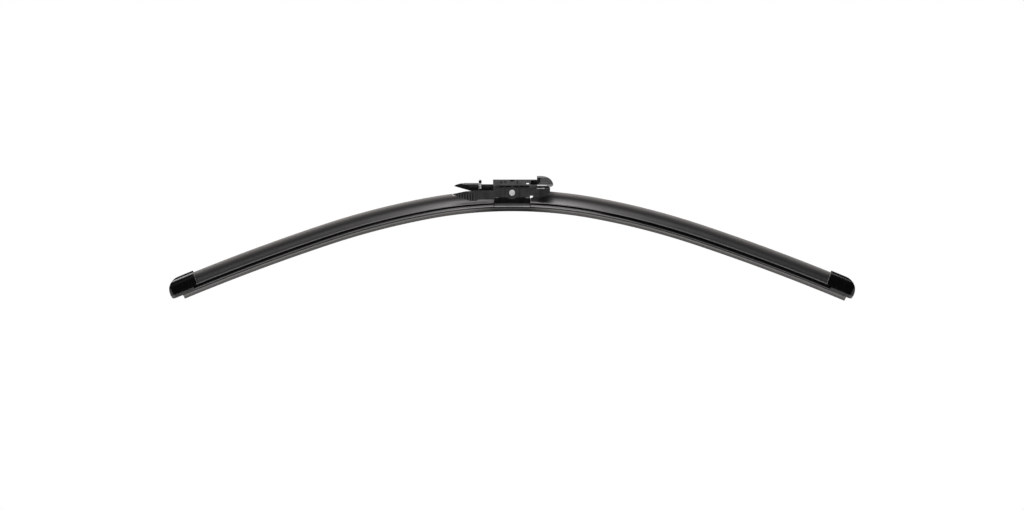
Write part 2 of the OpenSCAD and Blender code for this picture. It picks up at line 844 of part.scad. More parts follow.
// Side outline of the lever: a long point, a raised back and a flat foot
lever_foot = 1.7;
lever_top = 7.8;
lever_back = 9;
module lever_outline() {
    polygon([
        [-lever_left, 6.2],
        [2 - lever_left, 7.5],
        [6 - lever_left, 8.5],
        [10 - lever_left, lever_back],
        [-thumb_x - 1.9, lever_back],
        [-thumb_x + 1.7, lever_top],
        [-hinge_x, lever_top],
        [-hinge_x, lever_foot],
        [16 - lever_left, lever_foot]]);
}

module lever_section() {
    polygon(both_sides([
        [lever_foot - 1, -lever_w / 2 + 1.6],
        [lever_foot + 0.6, -lever_w / 2],
        [lever_top - 2.6, -lever_w / 2],
        [lever_top - 1.3, -lever_w / 2 + 0.3],
        [lever_top - 0.1, -lever_w / 2 + 0.9],
        [lever_back + 0.1, -lever_w / 2 + 2.2]]));
}

module lever_plan() {
    point_w = 3;
    polygon([
        [-lever_left, -point_w / 2],
        [8 - lever_left, -lever_w / 2 + 1],
        [15 - lever_left, -lever_w / 2],
        [0, -lever_w / 2],
        [0, lever_w / 2],
        [15 - lever_left, lever_w / 2],
        [8 - lever_left, lever_w / 2 - 1],
        [-lever_left, point_w / 2]]);
}

module lever_blade() {
    intersection() {
        across(-lever_w / 2, lever_w / 2)
            lever_outline();
        behind_tip(0, lever_left + 1)
            lever_section();
        linear_extrude(lever_back + 1)
            lever_plan();
    }
}

module lock_lever() {
    hub_half = wall_in - 3 * fit;
    stub_end = wall_in + stub_l;
    color("#0c0c0d")
        at_pin() {
            lever_blade();
            translate([-hinge_x, 0, hinge_z]) {
                cross_cylinder(hub_r, -hub_half, hub_half);
                cross_cylinder(stub_d / 2, -stub_end, stub_end);
            }
        }
}

// Ribbed saddle across the lever that a thumb pushes and the arm's window drops over
module thumb_piece() {
    half = lever_w / 2 + thumb_t;
    rib_r = 0.5;
    foot = lever_foot + 0.4;
    color("#8f8b8c")
        at_pin()
            difference() {
                union() {
                    across(-half, half)
                        translate([-thumb_x - thumb_w / 2, foot])
                            square([thumb_w, thumb_top - foot]);
                    for (i = [0, 2, 3, 4], side = [-1, 1])
                        translate([-thumb_x - thumb_w / 2, side * half, thumb_top - rib_r - i * thumb_pitch])
                            rotate([0, 90, 0])
                                cylinder(r = rib_r, h = thumb_w, $fn = 32);
                }
                lever_blade();
            }
}

wiper_rubber();
rail(-1);  // rail_front
rail(1);  // rail_rear
mirror([1, 0, 0]) spoiler(left_cut);  // spoiler_left
spoiler(right_cut);  // spoiler_right
mirror([1, 0, 0]) end_cap(rubber_left_setback);  // end_cap_left
end_cap(rubber_right_setback);  // end_cap_right
connector_bracket();
pivot_pin();
spacer_sleeve();
adapter_base();
adapter_cover();
lock_lever();
thumb_piece();
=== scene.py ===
import json
import math
import bmesh
import bpy
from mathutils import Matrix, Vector

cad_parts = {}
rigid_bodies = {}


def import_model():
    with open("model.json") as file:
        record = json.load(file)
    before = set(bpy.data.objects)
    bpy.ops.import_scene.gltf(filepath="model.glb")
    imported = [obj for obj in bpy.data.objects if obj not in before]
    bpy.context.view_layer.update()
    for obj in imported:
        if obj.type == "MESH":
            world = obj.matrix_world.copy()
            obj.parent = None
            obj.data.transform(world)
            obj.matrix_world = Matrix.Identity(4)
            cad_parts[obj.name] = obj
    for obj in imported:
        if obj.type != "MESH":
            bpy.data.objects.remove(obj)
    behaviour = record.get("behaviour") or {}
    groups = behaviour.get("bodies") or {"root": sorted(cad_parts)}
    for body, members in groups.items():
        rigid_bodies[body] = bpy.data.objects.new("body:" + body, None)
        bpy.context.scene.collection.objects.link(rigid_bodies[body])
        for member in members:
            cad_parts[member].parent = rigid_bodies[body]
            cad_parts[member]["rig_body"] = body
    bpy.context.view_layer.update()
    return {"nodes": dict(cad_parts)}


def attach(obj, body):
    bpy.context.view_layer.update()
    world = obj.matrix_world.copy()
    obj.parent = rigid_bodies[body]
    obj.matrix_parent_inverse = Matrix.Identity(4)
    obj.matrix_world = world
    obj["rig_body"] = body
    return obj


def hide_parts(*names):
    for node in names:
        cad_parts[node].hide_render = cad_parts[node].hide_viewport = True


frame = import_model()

print("frame loaded:", len(frame["nodes"]), "nodes")

mm = 0.001
pinZ = -12  # mm, as are all sizes below unless they say otherwise
bow = {
    "radii": (415, 700, 1950),  # three tangent arcs from the pin outward
    "lengths": (77, 95),  # of rail on the first two
    "railZ": -23,  # middle of the rails under the pin
    "half": 323.25,  # from the pin to a tip
}
corners = {
    "steps": 3,
    "leastBend": 25,  # degrees
    "mostCut": 0.45,  # share of the shorter side beside the corner
}
smoothBelow = 32  # degrees between two faces of an extrusion that are shaded as one


# x, z and turn of the middle of the rails, at a distance along the bow
def bowPlace(distance):
    left, x, z, turn = abs(distance), 0.0, 0.0, 0.0
    for i, radius in enumerate(bow["radii"]):
        here = min(left, bow["lengths"][i]) if i < len(bow["lengths"]) else left
        ahead = turn + here / radius
        x += radius * (math.sin(ahead) - math.sin(turn))
        z += radius * (math.cos(ahead) - math.cos(turn))
        turn, left = ahead, left - here
    side = 1 if distance >= 0 else -1
    return side * x, z + bow["railZ"], side * turn


# distance along the bow and height above the rails, in mm, of a point in metres
def placeOnBow(point):
    guess = point.x / mm
    for _ in range(4):  # each round brings the guess closer
        x, z, turn = bowPlace(guess)
        guess += (point.x / mm - x) * math.cos(turn) - (point.z / mm - z) * math.sin(turn)
    x, z, turn = bowPlace(guess)
    return guess, (point.x / mm - x) * math.sin(turn) + (point.z / mm - z) * math.cos(turn)


def heightOf(point):
    return placeOnBow(point)[1]


# height on a profile, a list of (place, height), at a place between its points
def heightAt(profile, place):
    for (p0, h0), (p1, h1) in zip(profile, profile[1:]):
        if p0 <= place <= p1:
            return h0 + (h1 - h0) * (place - p0) / (p1 - p0)
    return profile[-1][1]


# rounds the corners of an open outline, apart from those that hardly bend
def roundCorners(points, radius):
    out = [points[0]]
    for before, point, after in zip(points, points[1:], points[2:]):
        here = Vector(point)
        back, on = Vector(before) - here, Vector(after) - here
        bend = math.pi - back.angle(on)
        if math.degrees(bend) < corners["leastBend"]:
            out.append(point)
            continue
        most = corners["mostCut"] * min(back.length, on.length)
        cut = min(radius * math.tan(bend / 2), most)
        start, end = here + back.normalized() * cut, here + on.normalized() * cut
        for k in range(corners["steps"] + 1):
            t = k / corners["steps"]
            p = start * (1 - t) ** 2 + here * 2 * t * (1 - t) + end * t ** 2
            out.append((p.x, p.y))
    return out + [points[-1]]


def addPiece(name, mesh, body, nodes):
    piece = bpy.data.objects.new(name, mesh)
    bpy.context.scene.collection.objects.link(piece)
    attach(piece, body)
    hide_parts(*nodes)
    return piece


def shadeByAngle(mesh, degrees):
    for face in mesh.polygons:
        face.use_smooth = True
    mesh.set_sharp_from_angle(angle=math.radians(degrees))


# UV in metres: along the bow and round the section on the skin, x and z on the ends
def unrollAlongBow(mesh, stations, section):
    around = [0.0]
    for p, q in zip(section, section[1:] + section[:1]):
        around.append(around[-1] + math.dist(p, q))
    layer = mesh.uv_layers.new(name="alongBow").data
    for i, face in enumerate(mesh.polygons):
        ring, j = divmod(i, len(section))
        for corner, loop in enumerate(face.loop_indices):
            if ring < len(stations) - 1:
                distance = stations[ring + (corner in (1, 2))]
                layer[loop].uv = (distance * mm, around[j + (corner > 1)] * mm)
            else:
                co = mesh.vertices[face.vertices[corner]].co
                layer[loop].uv = (co.x, co.z)


# sweeps a section, a list of (height, y) for each distance, along the bow
def sweepAlongBow(name, stations, sectionAt):
    verts = []
    for distance in stations:
        x, z, turn = bowPlace(distance)
        for height, y in sectionAt(distance):
            verts.append(((x + height * math.sin(turn)) * mm, y * mm,
                          (z + height * math.cos(turn)) * mm))
    count = len(verts) // len(stations)
    last = len(verts) - count
    faces = []
    for a in range(0, last, count):
        b = a + count
        for j in range(count):
            k = (j + 1) % count
            faces.append((a + j, b + j, b + k, a + k))
    faces += [tuple(range(count)), tuple(reversed(range(last, len(verts))))]
    mesh = bpy.data.meshes.new(name)
    mesh.from_pydata(verts, [], faces)
    unrollAlongBow(mesh, stations, sectionAt(stations[len(stations) // 2]))
    build = bmesh.new()
    build.from_mesh(mesh)
    bmesh.ops.recalc_face_normals(build, faces=build.faces)
    build.to_mesh(mesh)
    build.free()
    shadeByAngle(mesh, smoothBelow)
    return mesh


# even steps from start to end, with stations at the given bends in place of their neighbours
def stationsBetween(start, end, step, bends=()):
    clear = 0.5
    count = max(2, round((end - start) / step))
    even = [start + (end - start) * i / count for i in range(count + 1)]
    even = [s for s in even if all(abs(s - bend) > clear for bend in bends)]
    return sorted(even + [bend for bend in bends if start < bend < end])


# writes a value for each face, which the materials read by its name
def markFaces(mesh, name, test):
    layer = mesh.attributes.new(name, "FLOAT", "FACE")
    for face in mesh.polygons:
        layer.data[face.index].value = float(test(face))


# writes a share from 0 to 1 for each point, from its place and height above the rails
def markPoints(mesh, name, share):
    layer = mesh.attributes.new(name, "FLOAT", "POINT")
    for vert in mesh.vertices:
        layer.data[vert.index].value = min(1.0, max(0.0, share(vert.co, heightOf(vert.co))))


rails = {"width": 4.2, "thick": 0.9, "webWidth": 1.8, "gap": 0.1}
gripIn = rails["webWidth"] / 2 + rails["gap"] + rails["width"] + rails["gap"]
gripZ = rails["thick"] / 2 + rails["gap"]
headPlate = 0.9  # thickness of the rubber's head over and under the rails
headTop = gripZ + headPlate

# heights are above the middle of the rails
spoiler = {
    "height": 13.7,
    "width": 13.4,
    "cornerRound": 0.3,
    "flareZ": 2.2,
    "flareThick": 0.5,
    "crestHalf": 2.8,
    "crestHeight": 4.2,
    "crestLean": 0.8,
    "flankPower": 2.1,
    "flankSteps": 26,
    "crestSteps": 24,
    "clawThick": 0.8,
    "clawReach": 1.4,
    "clawRound": 0.45,
    "clawLine": -0.25,  # height of a shallow line along the claw
    "clawLineIn": 0.12,  # its depth
    "grooveIn": 4.7,
    "grooveFloor": 0.6,
    "headWidth": 5.4,
    "headRoom": 0.3,  # room round the rubber's head
    "start": 16.8,
    "end": 315.25,
    "step": 2.0,
    "leftCut": ((0, 8.4), (40, 8.4), (52.6, 12.2), (52.95, 14)),  # distance from the pin, height left
    "rightCut": ((0, 6.4), (16.7, 6.4), (27, 12.6), (32.6, 12.6), (32.9, 14)),
    "grooveFoot": ((-330, -0.6), (-200, -0.45), (-90, -0.2), (-30, 0.4),
                   (40, 0.4), (120, -1.15), (330, -1.15)),  # x and foot of the groove's shade
    "grooveSoft": 0.3,  # height over which that shade grows
    "grooveInset": 0.3,  # how far inside the flared edges it stays
    "grooveOver": 0.02,  # how far above their foot it reaches
    "rimMiddle": 2.45,  # painted highlight along the rim of the flared edge
    "rimHalf": 0.4,
    "clawBelow": -0.15,  # height under which the claws carry a painted highlight
    "crestHighlightFrom": (8.0, 13.5),  # heights between which the crest grows paler with a painted highlight
    "flankHighlightFrom": (9.0, 5.0),  # heights between which the flank grows paler with a painted highlight
    "flankHighlightReach": 240,  # distance from the pin at which that highlight has gone
    "flankHighlightFade": 4,  # power of its fading
    "flankShadeReach": 330,  # distance at which the flank has no painted highlight and its painted shade is darkest
    "blockShade": (30.4, 5.5, 8.0, 5.0),  # x, height and half sizes of the shade under the block
}


def spoilerSection():
    s = spoiler
    clawIn, clawOut = gripIn - s["clawReach"], gripIn + s["clawThick"]
    clawFoot, clawTop = gripZ + s["clawThick"], gripZ + s["grooveFloor"]
    headIn, channelTop = s["headWidth"] / 2 + s["headRoom"], headTop + s["headRoom"]
    low, high = s["flareZ"] + s["flareThick"], s["height"] - s["crestHeight"]
    bend, reach = s["clawRound"], s["width"] / 2
    front = roundCorners([
        (channelTop, -headIn), (gripZ, -headIn),
        (gripZ, -gripIn), (-gripZ, -gripIn),
        (-gripZ, -clawIn), (-clawFoot, -clawIn),
        (-clawFoot, -clawOut + bend), (-clawFoot + bend, -clawOut),
        (s["clawLine"], -clawOut + s["clawLineIn"]), (clawTop - bend / 2, -clawOut + bend),
        (clawTop, -s["grooveIn"]), (s["flareZ"] - bend / 2, -s["grooveIn"]),
        (s["flareZ"], -reach), (low, -reach)], s["cornerRound"])
    wide = [(low + (high - low) * i / s["flankSteps"], (1 - i / s["flankSteps"]) ** s["flankPower"])
            for i in range(1, s["flankSteps"] + 1)]
    topFront, topRear = s["crestLean"] - s["crestHalf"], s["crestLean"] + s["crestHalf"]
    frontFlank = [(h, topFront + (-reach - topFront) * w) for h, w in wide]
    rearFlank = [(h, topRear + (reach - topRear) * w) for h, w in reversed(wide)]
    turns = [math.pi * i / s["crestSteps"] for i in range(1, s["crestSteps"])]
    crest = [(high + s["crestHeight"] * math.sin(a), s["crestLean"] - s["crestHalf"] * math.cos(a))
             for a in turns]
    return front + frontFlank + crest + rearFlank + [(h, -y) for h, y in reversed(front)]


def markSpoiler(mesh):
    s = spoiler
    grooveTop, grooveSide = s["flareZ"] + s["grooveOver"], (s["width"] / 2 - s["grooveInset"]) * mm
    crestFoot, crestTop = s["crestHighlightFrom"]
    flankTop, flankFoot = s["flankHighlightFrom"]
    middle, height, halfLong, halfHigh = s["blockShade"]
    heights = {face.index: heightOf(face.center) for face in mesh.polygons}

    def groove(co, h):
        if h >= grooveTop or abs(co.y) >= grooveSide:
            return 0
        return (h - heightAt(s["grooveFoot"], co.x / mm)) / s["grooveSoft"]

    def lowFlank(h):
        return (flankTop - h) / (flankTop - flankFoot)
    markPoints(mesh, "groove", groove)
    # painted highlight along the rim of the flared edge
    markFaces(mesh, "rim", lambda face: abs(heights[face.index] - s["rimMiddle"]) < s["rimHalf"])
    # painted highlight on the claws
    markFaces(mesh, "claw", lambda face: heights[face.index] < s["clawBelow"])
    # painted highlight on the crest
    markPoints(mesh, "crestHighlight", lambda co, h: (h - crestFoot) / (crestTop - crestFoot))
    # painted highlight on the lower flank, strongest near the pin
    markPoints(mesh, "flankHighlight", lambda co, h: lowFlank(h) * max(0, 1 - abs(co.x) / (s["flankHighlightReach"] * mm))
               ** s["flankHighlightFade"])
    markPoints(mesh, "shaded", lambda co, h: 1 - ((co.x / mm - middle) / halfLong) ** 2
               - ((h - height) / halfHigh) ** 2)
    # painted shade on the lower flank, darkest toward the tips
    markPoints(mesh, "flankShade", lambda co, h: lowFlank(h) * abs(co.x) / (s["flankShadeReach"] * mm))


def makeSpoiler(node, side, cut):
    whole = spoilerSection()
    clearStart = spoiler["start"] + 1  # a bend before it would crowd the upright end
    bends = [distance for distance, height in cut if distance > clearStart]
    stations = stationsBetween(spoiler["start"], spoiler["end"], spoiler["step"], bends)

    def sectionAt(distance):
        top = heightAt(cut, abs(distance))
        return [(min(h, top), y) for h, y in whole]
    mesh = sweepAlongBow(node + "Swept", [side * s for s in stations], sectionAt)
    for vert in mesh.vertices[:len(whole)]:
        vert.co.x = side * spoiler["start"] * mm  # the end beside the bracket is cut upright
    markSpoiler(mesh)
    return addPiece(node + "Swept", mesh, "blade", [node])


rubber = {
    "headWidth": 5.4,
    "neckWidth": 0.9,
    "neckHeight": 0.4,
    "shoulderWidth": 6.4,
    "shoulderHeight": 0.75,
    "taperHeight": 0.9,
    "lipRoot": 1.3,
    "lipTip": 0.7,
    "lipHeight": 2.2,
    "cornerRound": 0.15,
    "leftSetback": 10.5,
    "rightSetback": 5.5,
    "step": 3.0,
    "shadedFrom": (42, 16),  # distances from the pin between which the bracket's shade grows
}


def makeRubber():
    r = rubber
    shoulderTop = headTop + r["neckHeight"]
    taperTop = shoulderTop + r["shoulderHeight"]
    lipTop = taperTop + r["taperHeight"]
    lipFoot = lipTop + r["lipHeight"]
    headIn, neckIn, shoulderIn = r["headWidth"] / 2, r["neckWidth"] / 2, r["shoulderWidth"] / 2
    webIn = rails["webWidth"] / 2
    half = roundCorners([
        (-lipFoot, -r["lipTip"] / 2), (-lipTop, -r["lipRoot"] / 2),
        (-taperTop, -shoulderIn), (-shoulderTop, -shoulderIn),
        (-shoulderTop, -neckIn), (-headTop, -neckIn),
        (-headTop, -headIn), (-gripZ, -headIn),
        (-gripZ, -webIn), (gripZ, -webIn),
        (gripZ, -headIn), (headTop, -headIn)], r["cornerRound"])
    section = half + [(h, -y) for h, y in reversed(half)]
    left, right = r["leftSetback"] - bow["half"], bow["half"] - r["rightSetback"]
    stations = stationsBetween(left, right, r["step"])
    mesh = sweepAlongBow("wiperRubberSwept", stations, lambda distance: section)
    far, near = r["shadedFrom"]
    markPoints(mesh, "shaded", lambda co, h: (far - abs(co.x / mm)) / (far - near))
    return addPiece("wiperRubberSwept", mesh, "blade", ["wiper_rubber"])


rounding = {
    "mergeWithin": 0.002,
    "flatWithin": 0.6,  # degrees between faces that are joined into one
    "sharpAbove": 28,  # degrees between faces whose edge is rounded
    "segments": 2,
}
# left of this x flat faces stay in triangles, as one face with many notches doesn't round well
keepTrianglesLeftOf = {"adapter_base": -29}


# a copy of a CAD node with its edges rounded, as moulded and pressed parts have them
def softCopy(node, width):
    source = frame["nodes"][node]
    build = bmesh.new()
    build.from_mesh(source.data)
    bmesh.ops.remove_doubles(build, verts=build.verts, dist=rounding["mergeWithin"] * mm)
    limit = keepTrianglesLeftOf.get(node, -math.inf) * mm
    loose = [edge for edge in build.edges if all(vert.co.x >= limit for vert in edge.verts)]
    flat = math.radians(rounding["flatWithin"])
    bmesh.ops.dissolve_limit(build, angle_limit=flat, verts=[], edges=loose)
    mesh = bpy.data.meshes.new(node + "Soft")
    build.to_mesh(mesh)
    build.free()
    mesh.materials.clear()
    for _ in range(2):  # the second slot is for the faces that the bevel adds
        mesh.materials.append(standIn)
    for face in mesh.polygons:
        face.material_index = 0
    shadeByAngle(mesh, rounding["sharpAbove"])
    body = source["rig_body"]
    piece = addPiece(node + "Soft", mesh, body, [node])
    bevel = piece.modifiers.new("roundEdges", "BEVEL")
    bevel.width = width * mm
    bevel.segments = rounding["segments"]
    bevel.limit_method = "ANGLE"
    bevel.angle_limit = math.radians(rounding["sharpAbove"])
    bevel.use_clamp_overlap = True
    bevel.material = 1
    bevel.miter_outer = "MITER_ARC"
    bevel.face_strength_mode = "FSTR_ALL"
    flats = piece.modifiers.new("keepFlats", "WEIGHTED_NORMAL")
    flats.use_face_influence = True
    flats.keep_sharp = True
    deps = bpy.context.evaluated_depsgraph_get()
    done = bpy.data.meshes.new_from_object(piece.evaluated_get(deps))
    piece.modifiers.clear()
    piece.data = done
    markFaces(done, "edge", lambda face: face.material_index)
    for face in done.polygons:
        face.material_index = 0
    done.materials.clear()
    return piece


pieces = {
    "spoiler_left": makeSpoiler("spoiler_left", -1, spoiler["leftCut"]),
    "spoiler_right": makeSpoiler("spoiler_right", 1, spoiler["rightCut"]),
    "wiper_rubber": makeRubber(),
}
print("extrusions swept")

standIn = bpy.data.materials.new("plainStandIn")
# width of the rounding, and slot
softEdges = {
    "end_cap_left": (0.35, "cap_plastic"),
    "end_cap_right": (0.35, "cap_plastic"),
    "connector_bracket": (0.2, "bracket_steel"),
    "adapter_base": (0.14, "adapter_plastic"),
    "adapter_cover": (0.18, "cover_plastic"),
    "lock_lever": (0.22, "lever_plastic"),
    "thumb_piece": (0.1, "thumb_plastic"),
}
innerSide = {"connector_bracket": 5.95, "thumb_piece": 6.15}  # faces within this y lie in shade
flangeTop = -21.35  # z of the top of the bracket's flange, which is lit
capSkirtTop = 0.7  # height under which the caps' lower skirt carries a painted highlight where it catches light
capMouth = 297  # distance from the pin before which the faces are the caps' mouths, which carry a painted highlight


def isDeep(node, face):
    lit = node == "connector_bracket" and face.center.z <= flangeTop * mm
    return abs(face.center.y) < innerSide.get(node, 0) * mm and not lit


# the caps' lower skirt gets a painted highlight
def isPale(node, face):
    return "cap" in node and heightOf(face.center) < capSkirtTop


# the caps' mouths get a painted highlight
def isMouth(node, face):
    return "cap" in node and abs(placeOnBow(face.center)[0]) < capMouth


for node, (width, slotName) in softEdges.items():
    pieces[node] = softCopy(node, width)
    for markName, test in {"deep": isDeep, "pale": isPale, "mouth": isMouth}.items():
        markFaces(pieces[node].data, markName, lambda face: test(node, face))
print("moulded and pressed parts rounded")


def grey(value):
    return (value, value, value)


def addNode(tree, kind, inputs=None, **settings):
    node = tree.nodes.new(kind)
    for key, value in settings.items():
        setattr(node, key, value)
    for key, value in (inputs or {}).items():
        if isinstance(value, bpy.types.NodeSocket):
            tree.links.new(value, node.inputs[key])
        else:
            node.inputs[key].default_value = value
    return node


def addMath(tree, operation, *values):
    return addNode(tree, "ShaderNodeMath", dict(enumerate(values)), operation=operation).outputs[0]


def addVectorMath(tree, operation, *values):
    return addNode(tree, "ShaderNodeVectorMath", dict(enumerate(values)), operation=operation).outputs


def addNoise(tree, place, scale, detail):
    inputs = {"Vector": place, "Scale": scale, "Detail": detail}
    return addNode(tree, "ShaderNodeTexNoise", inputs).outputs["Fac"]


def objectPlace(tree):
    return addNode(tree, "ShaderNodeTexCoord").outputs["Object"]


def readMark(tree, name):
    settings = {"attribute_name": name, "attribute_type": "GEOMETRY"}
    return addNode(tree, "ShaderNodeAttribute", **settings).outputs["Fac"]


# how often a size in mm goes into a metre
def perMetre(tree, size):
    return addMath(tree, "DIVIDE", 1 / mm, size)


def startGroup(name, takes, gives):
    tree = bpy.data.node_groups.new(name, "ShaderNodeTree")
    for label, value in takes.items():
        socket = tree.interface.new_socket(name=label, in_out="INPUT", socket_type="NodeSocketFloat")
        socket.default_value = value
    for label in gives:
        tree.interface.new_socket(name=label, in_out="OUTPUT", socket_type="NodeSocketFloat")
    return tree, tree.nodes.new("NodeGroupInput").outputs, tree.nodes.new("NodeGroupOutput").inputs


# fine pebbled texture of a spark-eroded mould, with a slow change of shade
def makeMouldGrain():
    tree, given, out = startGroup("mouldGrain", {"Size": 0.4, "Patch": 6.0}, ("Height", "Shade"))
    place = objectPlace(tree)
    scale = perMetre(tree, given["Size"])
    pebbles = addNode(tree, "ShaderNodeTexVoronoi", {"Vector": place, "Scale": scale},
                      feature="SMOOTH_F1").outputs["Distance"]
    noise = addNoise(tree, place, scale, detail=3.0)
    slow = addNoise(tree, place, perMetre(tree, given["Patch"]), detail=4.0)
    tree.links.new(addMath(tree, "ADD", pebbles, noise), out["Height"])
    tree.links.new(slow, out["Shade"])
    return tree


# die lines that run along an extruded strip, and a slow change of shade along it
def makeDieLines():
    tree, given, out = startGroup("dieLines", {"Spacing": 0.3, "Length": 60.0}, ("Height", "Shade"))
    place = addNode(tree, "ShaderNodeUVMap", uv_map="alongBow").outputs["UV"]
    across, along = perMetre(tree, given["Spacing"]), perMetre(tree, given["Length"])
    scale = addNode(tree, "ShaderNodeCombineXYZ", {"X": along, "Y": across, "Z": 1.0}).outputs[0]
    stretched = addVectorMath(tree, "MULTIPLY", place, scale)[0]
    tree.links.new(addNoise(tree, stretched, scale=1.0, detail=3.0), out["Height"])
    tree.links.new(addNoise(tree, stretched, scale=0.35, detail=2.0), out["Shade"])
    return tree


# above 0 on rounded edges that are rubbed a little lighter, broken up along their length
def makeRubbedEdges():
    tree, given, out = startGroup("rubbedEdges", {"Amount": 0.5, "Breakup": 3.0}, ("Mask",))
    noise = addNoise(tree, objectPlace(tree), perMetre(tree, given["Breakup"]), detail=3.0)
    some = addMath(tree, "MULTIPLY", readMark(tree, "edge"), noise)
    tree.links.new(addMath(tree, "MULTIPLY", some, given["Amount"]), out["Mask"])
    return tree


# painted shade that grows in gaps and under ledges
def makeCavityShade():
    tree, given, out = startGroup("cavityShade", {"Reach": 1.5, "Strength": 1.0}, ("Mask",))
    reach = addMath(tree, "MULTIPLY", given["Reach"], mm)
    openness = addNode(tree, "ShaderNodeAmbientOcclusion", {"Distance": reach},
                       samples=6, only_local=True).outputs["AO"]
    shut = addNode(tree, "ShaderNodeMapRange", {"Value": openness, "From Min": 0.75, "From Max": 0.3})
    tree.links.new(addMath(tree, "MULTIPLY", shut.outputs[0], given["Strength"]), out["Mask"])
    return tree


# 1 where a coordinate lies between two values in mm, with soft ends
def addBand(tree, coordinate, low, high, soft):
    inMm = addMath(tree, "MULTIPLY", coordinate, 1 / mm)
    pastLow = addMath(tree, "SUBTRACT", inMm, low)
    beforeHigh = addMath(tree, "SUBTRACT", high, inMm)
    least = addMath(tree, "MINIMUM", pastLow, beforeHigh)
    return addNode(tree, "ShaderNodeClamp", {"Value": addMath(tree, "DIVIDE", least, soft)}).outputs[0]


# 1 in a patch of the side, given in mm along and up
def makeSidePatch():
    takes = {"Left": 0.0, "Right": 1.0, "Foot": 0.0, "Top": 1.0, "Soft": 0.3}
    tree, given, out = startGroup("sidePatch", takes, ("Mask",))
    parts = addNode(tree, "ShaderNodeSeparateXYZ", {0: objectPlace(tree)}).outputs
    along = addBand(tree, parts["X"], given["Left"], given["Right"], given["Soft"])
    up = addBand(tree, parts["Z"], given["Foot"], given["Top"], given["Soft"])
    tree.links.new(addMath(tree, "MULTIPLY", along, up), out["Mask"])
    return tree


# 1 between the grip ribs, where shade is painted
def makeRibGaps():
    takes = {"First": 0.0, "Last": 1.0, "Pitch": 2.4, "Width": 1.1, "Foot": -30.0, "Top": 0.0}
    tree, given, out = startGroup("ribGaps", takes, ("Mask",))
    parts = addNode(tree, "ShaderNodeSeparateXYZ", {0: objectPlace(tree)}).outputs
    along = addBand(tree, parts["X"], given["First"], given["Last"], soft=0.05)
    inMm = addMath(tree, "MULTIPLY", parts["X"], 1 / mm)
    pastFirst = addMath(tree, "SUBTRACT", inMm, given["First"])
    withinPitch = addMath(tree, "FLOORED_MODULO", pastFirst, given["Pitch"])
    gap = addMath(tree, "GREATER_THAN", withinPitch, given["Width"])
    up = addBand(tree, parts["Z"], given["Foot"], given["Top"], soft=0.3)
    within = addMath(tree, "MULTIPLY", along, up)
    tree.links.new(addMath(tree, "MULTIPLY", within, gap), out["Mask"])
    return tree


mouldGrain, dieLines, rubbedEdges = makeMouldGrain(), makeDieLines(), makeRubbedEdges()
cavityShade, sidePatch, ribGaps = makeCavityShade(), makeSidePatch(), makeRibGaps()
print("shared textures made")


def startMaterial(name):
    material = bpy.data.materials.new(name)
    material.use_nodes = True
    tree = material.node_tree
    tree.nodes.clear()
    shader = tree.nodes.new("ShaderNodeBsdfPrincipled")
    end = tree.nodes.new("ShaderNodeOutputMaterial")
    tree.links.new(shader.outputs[0], end.inputs["Surface"])
    return material, tree, shader


def useGroup(tree, group, **values):
    node = tree.nodes.new("ShaderNodeGroup")
    node.node_tree = group
    for key, value in values.items():
        node.inputs[key].default_value = value
    return node.outputs


# stretches a noise, which mostly keeps between these two values, to run from low to high
def rangeOf(tree, noise, low=0.0, high=1.0):
    inputs = {"Value": noise, "From Min": 0.3, "From Max": 0.7, "To Min": low, "To Max": high}
    return addNode(tree, "ShaderNodeMapRange", inputs).outputs[0]


# lays one colour over another; inputs 6 and 7 of a Mix node are its two colours
def overlay(tree, mask, base, top):
    return addNode(tree, "ShaderNodeMix", {0: mask, 6: base, 7: (*top, 1)}, data_type="RGBA").outputs[2]


def blendColours(tree, noise, first, second):
    return overlay(tree, rangeOf(tree, noise), (*first, 1), second)


def addBump(tree, shader, height, depth):
    bump = addNode(tree, "ShaderNodeBump", {"Strength": 1.0, "Distance": depth * mm, "Height": height})
    tree.links.new(bump.outputs[0], shader.inputs["Normal"])


# tints are (mark, power, strength, colour), laid over each other in this order
extruded = {
    "lipRubber": {
        "dark": (0.085, 0.080, 0.077), "light": (0.13, 0.122, 0.118), "rough": (0.5, 0.66),
        "specular": 0.3, "spacing": 0.35, "length": 45, "grain": 0.5, "patch": 9, "depth": 0.012,
        "tints": [("shaded", 1.0, 0.95, (0.01, 0.0095, 0.009))]},
    "spoilerRubber": {
        "dark": (0.027, 0.0252, 0.0255), "light": (0.04, 0.0374, 0.0378), "rough": (0.5, 0.6),
        "specular": 0.2, "spacing": 0.5, "length": 80, "grain": 0.5, "patch": 9, "depth": 0.008,
        # the tints paint shade toward the tips, highlights on the crest, the lower flank, the rim and
        # the claws, and shade under the block and in the groove
        "tints": [("flankShade", 0.7, 0.85, grey(0.006)),
                  ("crestHighlight", 1.8, 0.85, (0.26, 0.243, 0.234)),
                  ("flankHighlight", 1.0, 1.0, (0.42, 0.407, 0.41)),
                  ("shaded", 0.7, 0.9, grey(0.004)),
                  ("rim", 1.0, 0.65, (0.17, 0.167, 0.167)),
                  ("claw", 1.0, 0.6, (0.15, 0.147, 0.147)),
                  ("groove", 1.0, 1.0, grey(0.002))]},
}


